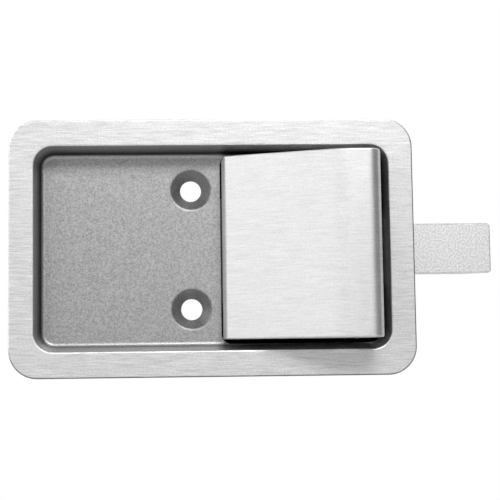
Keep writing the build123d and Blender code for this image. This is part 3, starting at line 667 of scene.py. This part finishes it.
def wind(centre, axis, radius, start_angle, turns, rise):
    """Wind round wire about an axis through centre; rise is the whole length wound."""
    bpy.ops.object.select_all(action="DESELECT")
    if axis == "X":
        place, rotation = Vector((0, 0, radius)), (pi / 2, 0, 0)
    else:
        place = Vector((cos(start_angle), sin(start_angle), 0)) * radius
        rotation = (pi / 2, 0, start_angle)
    bpy.ops.mesh.primitive_circle_add(
        vertices=RING_SIDES, radius=WIRE / 2, location=place, rotation=rotation
    )
    piece = bpy.context.object
    bpy.ops.object.transform_apply(location=True, rotation=True, scale=True)
    steps = round(TURN_STEPS * turns)
    apply_modifier(
        piece, "SCREW", axis=axis, angle=2 * pi * turns, screw_offset=rise,
        steps=steps, render_steps=steps, use_smooth_shade=True,
    )
    piece.location = centre
    bpy.ops.object.transform_apply(location=True)
    print("wound", round(turns, 2), "turns,", len(piece.data.polygons), "faces")
    return piece


# %% [markdown]
# The bolt spring is a compression spring on the guide rod. Its last turn at each end is
# laid against the one before and ground flat, so that it stands square on the bracket
# and on the washer. The open turns and the two closed turns are three windings of whole
# turns, so that they meet ring on ring. A flat cut grinds the ends.

# %% Wind and grind the bolt spring
SPRING_RADIUS = 2.95 * MM
OPEN_TURNS = 7
CLOSED_PITCH = 1.04 * WIRE
GROUND = 0.35 * WIRE                    # taken off each end
low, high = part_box("bolt_spring")
middle = (low + high) / 2
open_length = high.x - low.x - WIRE - 2 * CLOSED_PITCH
starts = [low.x + WIRE / 2, low.x + WIRE / 2 + CLOSED_PITCH, high.x - WIRE / 2 - CLOSED_PITCH]
rises = (CLOSED_PITCH, open_length, CLOSED_PITCH)
windings = [
    wind(Vector((x, middle.y, middle.z)), "X", SPRING_RADIUS, 0, turns, rise)
    for x, turns, rise in zip(starts, (1, OPEN_TURNS, 1), rises)
]
bolt_spring = join(windings)
pick(bolt_spring, "VERT")
merge_and_face_out()
bpy.ops.mesh.fill_holes(sides=RING_SIDES)
for cut, outwards in ((low.x + GROUND, -1), (high.x - GROUND, 1)):
    bpy.ops.mesh.select_all(action="SELECT")
    bpy.ops.mesh.bisect(
        plane_co=(cut, 0, 0), plane_no=(outwards, 0, 0), use_fill=True, clear_outer=True
    )
leave_edit()

# %% [markdown]
# When the bolt is drawn in, the spring is pressed together between the bracket, which
# stays, and the bolt's tail. It replaces the plain coil of the solids, which has square wire.

# %% Bolt spring in place
spring_finish = make_shop_finish("phosphated_spring_wire", "#5c5d5e", 0.34, 0.4)
settle(bolt_spring, "bolt_spring_wound", spring_finish)
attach(bolt_spring, "frame")
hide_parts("bolt_spring")
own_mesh(bolt_spring)

# %% [markdown]
# The torsion spring sits on the pivot pin. One leg presses on the bracket, the other on
# the underside of the paddle, so pushing the paddle twists the coil by the same angle.
# The coil is wound like the other spring, round an axis along Z. Its turns lie closer,
# because a torsion spring works by bending and needs no room to be pressed together.

# %% Wind the torsion spring
TORSION_RADIUS = 2.8 * MM
TORSION_TURNS = 4.139
TORSION_RISE = 4.172 * MM
TORSION_START = radians(191.05)
COIL_LOW = -9.5 * MM
joints = {joint["name"]: joint for joint in frame["joints"]}
PIVOT = Vector(joints["paddle_push"]["pos_m"])

torsion_spring = wind(
    Vector((PIVOT.x, PIVOT.y, COIL_LOW)), "Z", TORSION_RADIUS, TORSION_START, TORSION_TURNS,
    TORSION_RISE,
)

# %% [markdown]
# Each leg is the last bit of wire, left straight. It could be a cylinder of its own, but
# then a seam would show where the coil lets go of it. So the end ring of the coil is
# selected by its place, pulled out the way the wire runs there, and closed with a
# slightly domed face, as a cut and deburred wire has.

# %% Legs of the torsion spring
LEGS = {"web_leg": (-1, 8.6 * MM), "paddle_leg": (1, 5.7 * MM)}
RING_DEPTH = 0.05 * MM                  # the end ring lies this close to its own plane
RING_REACH = 0.51 * WIRE
END_DOME = 0.12 * WIRE


def coil_end(turns):
    """Where the coil is after some turns, and which way its wire runs there."""
    angle = TORSION_START + 2 * pi * turns
    height = COIL_LOW + TORSION_RISE * turns / TORSION_TURNS
    climb = TORSION_RISE / (2 * pi * TORSION_TURNS * TORSION_RADIUS)
    place = Vector((TORSION_RADIUS * cos(angle), TORSION_RADIUS * sin(angle), height))
    along = Vector((-sin(angle), cos(angle), climb)).normalized()
    return place + Vector((PIVOT.x, PIVOT.y, 0)), along


for leg, (sense, length) in LEGS.items():
    end, along = coil_end(0 if sense < 0 else TORSION_TURNS)
    along = along * sense
    pick(torsion_spring, "VERT", lambda vertex: (
        abs((vertex.co - end).dot(along)) < RING_DEPTH and (vertex.co - end).length < RING_REACH
    ))
    bpy.ops.mesh.extrude_region_move(TRANSFORM_OT_translate={"value": along * length})
    bpy.ops.mesh.edge_face_add()
    bpy.ops.mesh.inset(thickness=END_DOME)
    bpy.ops.transform.translate(value=along * END_DOME)
    leave_edit()
    print(leg, "mm:", round(length / MM, 1))

# %% [markdown]
# The two ends of this spring belong to different bodies: the bracket's end stays, the
# paddle's end turns. The wound spring replaces the plain one of the solids.

# %% Torsion spring in place
settle(torsion_spring, "torsion_spring_wound", spring_finish)
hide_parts("torsion_spring")
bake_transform(torsion_spring)

# %% [markdown]
# The cover is held by four small screws with a domed head. Cold heading makes such a
# head, and the cross is punched into it. Here the head is a cylinder whose top edge is
# rounded by a bevel. Its underside is inset to the shank and pulled out ring by ring,
# in and out, which leaves shallow thread grooves. A true helix would cost many more
# faces and could hardly be told apart at this size.

# %% Screw
HEAD_RADIUS = 2.8 * MM
HEAD_HEIGHT = 1.8 * MM
HEAD_ROUND = 1.1 * MM
HEAD_SIDES = 40
SHANK_RADIUS = 1.5 * MM
SHANK_LENGTH = 5.0 * MM
THREAD_PITCH = 0.5 * MM
GROOVE = 0.86                           # radius in a groove, as a share of the shank's
POINT_LENGTH, POINT = 0.4 * MM, 0.7


def faces_down(face):
    return face.normal.z < -0.9


def pull_out(length, size):
    """Extrude the selected face downwards and resize its ring."""
    bpy.ops.mesh.extrude_region_move(TRANSFORM_OT_translate={"value": (0, 0, -length)})
    bpy.ops.transform.resize(value=(size, size, 1))


def make_screw():
    """A screw along Z: its head stands on the plane z = 0."""
    bpy.ops.object.select_all(action="DESELECT")
    bpy.ops.mesh.primitive_cylinder_add(
        vertices=HEAD_SIDES, radius=HEAD_RADIUS, depth=HEAD_HEIGHT,
        location=(0, 0, HEAD_HEIGHT / 2),
    )
    screw = bpy.context.object
    bpy.ops.object.transform_apply(location=True)
    corners = screw.data.vertices
    pick(screw, "EDGE", lambda edge: all(
        corners[v].co.z > HEAD_HEIGHT / 2 for v in edge.vertices
    ))
    bpy.ops.mesh.bevel(offset=HEAD_ROUND, segments=6, profile=0.5, affect="EDGES")
    leave_edit()
    pick(screw, "FACE", faces_down)
    bpy.ops.mesh.inset(thickness=HEAD_RADIUS - SHANK_RADIUS)
    for _ in range(int(SHANK_LENGTH / THREAD_PITCH) - 1):
        pull_out(THREAD_PITCH / 2, GROOVE)
        pull_out(THREAD_PITCH / 2, 1 / GROOVE)
    pull_out(POINT_LENGTH, POINT)
    leave_edit()
    return screw


screw = make_screw()
print("one screw:", len(screw.data.polygons), "faces")

# %% [markdown]
# The cross is two slots that narrow towards their floor, so the driver centres itself.
# A blade with a tapered foot is cut away from the head, then the same blade turned a
# quarter.

# %% Cross in the head
BLADE_THICK, BLADE_LONG, BLADE_DEEP = 0.75 * MM, 3.2 * MM, 1.1 * MM
BLADE_FOOT = 0.5                        # size of the blade's foot, as a share of its top

for turned in (0, pi / 2):
    bpy.ops.object.select_all(action="DESELECT")
    bpy.ops.mesh.primitive_cube_add(size=1, location=(0, 0, HEAD_HEIGHT), rotation=(0, 0, turned))
    blade = bpy.context.object
    blade.scale = (BLADE_THICK, BLADE_LONG, 2 * BLADE_DEEP)
    bpy.ops.object.transform_apply(location=True, rotation=True, scale=True)
    pick(blade, "FACE", faces_down)
    bpy.ops.transform.resize(value=(BLADE_FOOT, BLADE_FOOT, 1))
    leave_edit()
    apply_modifier(screw, "BOOLEAN", operation="DIFFERENCE", object=blade, solver="EXACT")
    bpy.data.objects.remove(blade)
print("with its cross:", len(screw.data.polygons), "faces")

# %% [markdown]
# The four screws are the same screw, copied to the corners that the plain screws mark.
# Each was tightened by hand, so no two crosses stand at the same angle.

# %% Cover screws
FIRST_TURN, NEXT_TURN = 17, 31          # degrees
low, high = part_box("cover_screws")
seat = high.y - HEAD_HEIGHT
places = [(x, z) for x in (low.x + HEAD_RADIUS, high.x - HEAD_RADIUS)
          for z in (low.z + HEAD_RADIUS, high.z - HEAD_RADIUS)]
copies = []
for number, (x, z) in enumerate(places):
    copy = screw.copy()
    copy.data = screw.data.copy()
    bpy.context.scene.collection.objects.link(copy)
    copy.rotation_euler = (-pi / 2, 0, 0)
    copy.location = (x, seat, z)
    copy.data.transform(Matrix.Rotation(radians(FIRST_TURN + NEXT_TURN * number), 4, "Z"))
    copies.append(copy)
bpy.data.objects.remove(screw)
cover_screws = join(copies)
screw_finish = make_shop_finish("bright_zinc_screw", "#c6c8ca", 0.28, 0.3)
settle(cover_screws, "cover_screws_cross", screw_finish)
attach(cover_screws, "frame")
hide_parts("cover_screws")

# %% [markdown]
# A product picture on white has no horizon. A plain paper floor well below the latch
# takes its shadow. Behind it hangs a backdrop that glows only for the rays that come
# straight from the camera or off metal and glass, so it looks white but adds no light
# of its own. A bright lamp on a white wall would do it too, and would flood the metal.

# %% Stage
STAGE_SIZE = 8.0
FLOOR_DROP = 130 * MM
BACKDROP_BEHIND = 0.6
FIBRE = 2 * MM
FIBRE_SHADES = (0.97, 1.0)


def make_paper():
    material = new_material("pale_paper")
    shade = layers(material, noise_to(grain(material, FIBRE, detail=4.0), *FIBRE_SHADES))
    colour = add_node(
        material, "ShaderNodeVectorMath", {"operation": "SCALE"},
        {0: linear("#e2e2e2")[:3], "Scale": shade},
    )
    paper = add_node(material, "ShaderNodeBsdfDiffuse", inputs={"Color": colour})
    return finish_material(material, paper)


def make_lit_backdrop():
    material = new_material("lit_backdrop")
    path = add_node(material, "ShaderNodeLightPath").outputs
    seen = path["Is Camera Ray"]
    for ray in ("Is Glossy Ray", "Is Transmission Ray"):
        seen = add_node(material, "ShaderNodeMath", {"operation": "MAXIMUM"}, (seen, path[ray]))
    cloth = add_node(material, "ShaderNodeBsdfDiffuse", inputs={"Color": linear("#e8e8e8")})
    glow = add_node(
        material, "ShaderNodeEmission", inputs={"Color": linear("#ffffff"), "Strength": 1.0}
    )
    return finish_material(
        material, add_node(material, "ShaderNodeMixShader", inputs=(seen, cloth, glow))
    )


def stage_plane(name, material, location, rotation):
    bpy.ops.object.select_all(action="DESELECT")
    bpy.ops.mesh.primitive_plane_add(size=STAGE_SIZE, location=location, rotation=rotation)
    plane = bpy.context.object
    plane.name = name
    plane.data.materials.append(material)
    print(name, "at", [round(v, 3) for v in location])


stage_plane("floor", make_paper(), (0, 0, cad_box[0][2] - FLOOR_DROP), (0, 0, 0))
stage_plane("backdrop", make_lit_backdrop(), (0, BACKDROP_BEHIND, 0), (pi / 2, 0, 0))

# %% [markdown]
# Brushed sheet that faces the lens mirrors whatever is in front of it, softly. A wide
# box straight ahead makes the flange and the paddle nearly white. A small key box high
# on the right throws the paddle's shadow on the flange below it. A box on the left and
# one further round that side lift the left faces and the bolt, and a small one behind
# shapes the case. The tub's walls mirror the unlit room and carry a painted shade towards
# their foot, so they look nearly black. Sun and spot lamps would leave hard, small
# highlights on steel, so all the lamps are areas.

# %% Light
ROOM_GLOW = 0.10


def place_at(side, height, distance):
    """A place that many degrees right of and above straight in front of the plate."""
    side, height = radians(side), radians(height)
    return (
        distance * sin(side) * cos(height), -distance * cos(side) * cos(height),
        distance * sin(height),
    )


LAMPS = {
    "front": (place_at(-8, 8, 2.2), (2.6, 1.2), 4.8),
    "key": (place_at(13, 40, 1.1), (0.42, 0.34), 8.4),
    "left": (place_at(-50, 14, 1.6), (1.2, 1.0), 6.0),
    "side": (place_at(-80, 32, 1.2), (0.6, 0.6), 3.5),
    "back": ((0.35, 0.5, 0.55), (0.5, 0.5), 1.5),
}
for name, (location, size, power) in LAMPS.items():
    lamp = bpy.data.lights.new(name, "AREA")
    lamp.shape = "RECTANGLE"
    lamp.size, lamp.size_y = size
    lamp.energy = power
    lamp_object = bpy.data.objects.new(name, lamp)
    bpy.context.scene.collection.objects.link(lamp_object)
    lamp_object.location = location
    towards_latch = -Vector(location)
    lamp_object.rotation_euler = towards_latch.to_track_quat("-Z", "Y").to_euler()
    print("soft box", name, [round(v, 2) for v in location], "watts:", power)

world = bpy.data.worlds.new("room")
bpy.context.scene.world = world
world.use_nodes = True
room = world.node_tree.nodes["Background"]
room.inputs["Color"].default_value = linear("#ffffff")
room.inputs["Strength"].default_value = ROOM_GLOW

# %% [markdown]
# The camera stands a little below and left of straight in front, which shows how far the
# paddle's crest stands out from the plate. A 90 mm lens keeps the plate's sides nearly
# parallel. A small roll sets the plate as it hangs on its door, and the two shifts slide
# the picture without turning the camera, so upright lines stay upright.

# %% Camera
LENS = 90.0
SENSOR = 36.0
DISTANCE = 369 * MM
BELOW = radians(5.1)
LEFT = radians(2.1)
ROLL = radians(0.7)
SIDE_SHIFT = 0.0750
RISE_SHIFT = -0.0061

aim = Vector(((PAN_LOW.x + PAN_HIGH.x) / 2, FLANGE_FACE, (PAN_LOW.z + PAN_HIGH.z) / 2))
towards = Vector((-sin(LEFT) * cos(BELOW), -cos(LEFT) * cos(BELOW), -sin(BELOW)))
camera_data = bpy.data.cameras.new("camera")
camera_data.lens = LENS
camera_data.sensor_width = SENSOR
camera_data.shift_x = SIDE_SHIFT
camera_data.shift_y = RISE_SHIFT
camera_data.clip_start = 0.01
camera = bpy.data.objects.new("camera", camera_data)
bpy.context.scene.collection.objects.link(camera)
turn = towards.to_track_quat("Z", "Y").to_matrix().to_4x4() @ Matrix.Rotation(-ROLL, 4, "Z")
camera.matrix_world = Matrix.Translation(aim + towards * DISTANCE) @ turn
bpy.context.scene.camera = camera
bpy.context.scene.view_settings.view_transform = "Standard"
print("camera at mm:", [round(v / MM, 1) for v in camera.location])
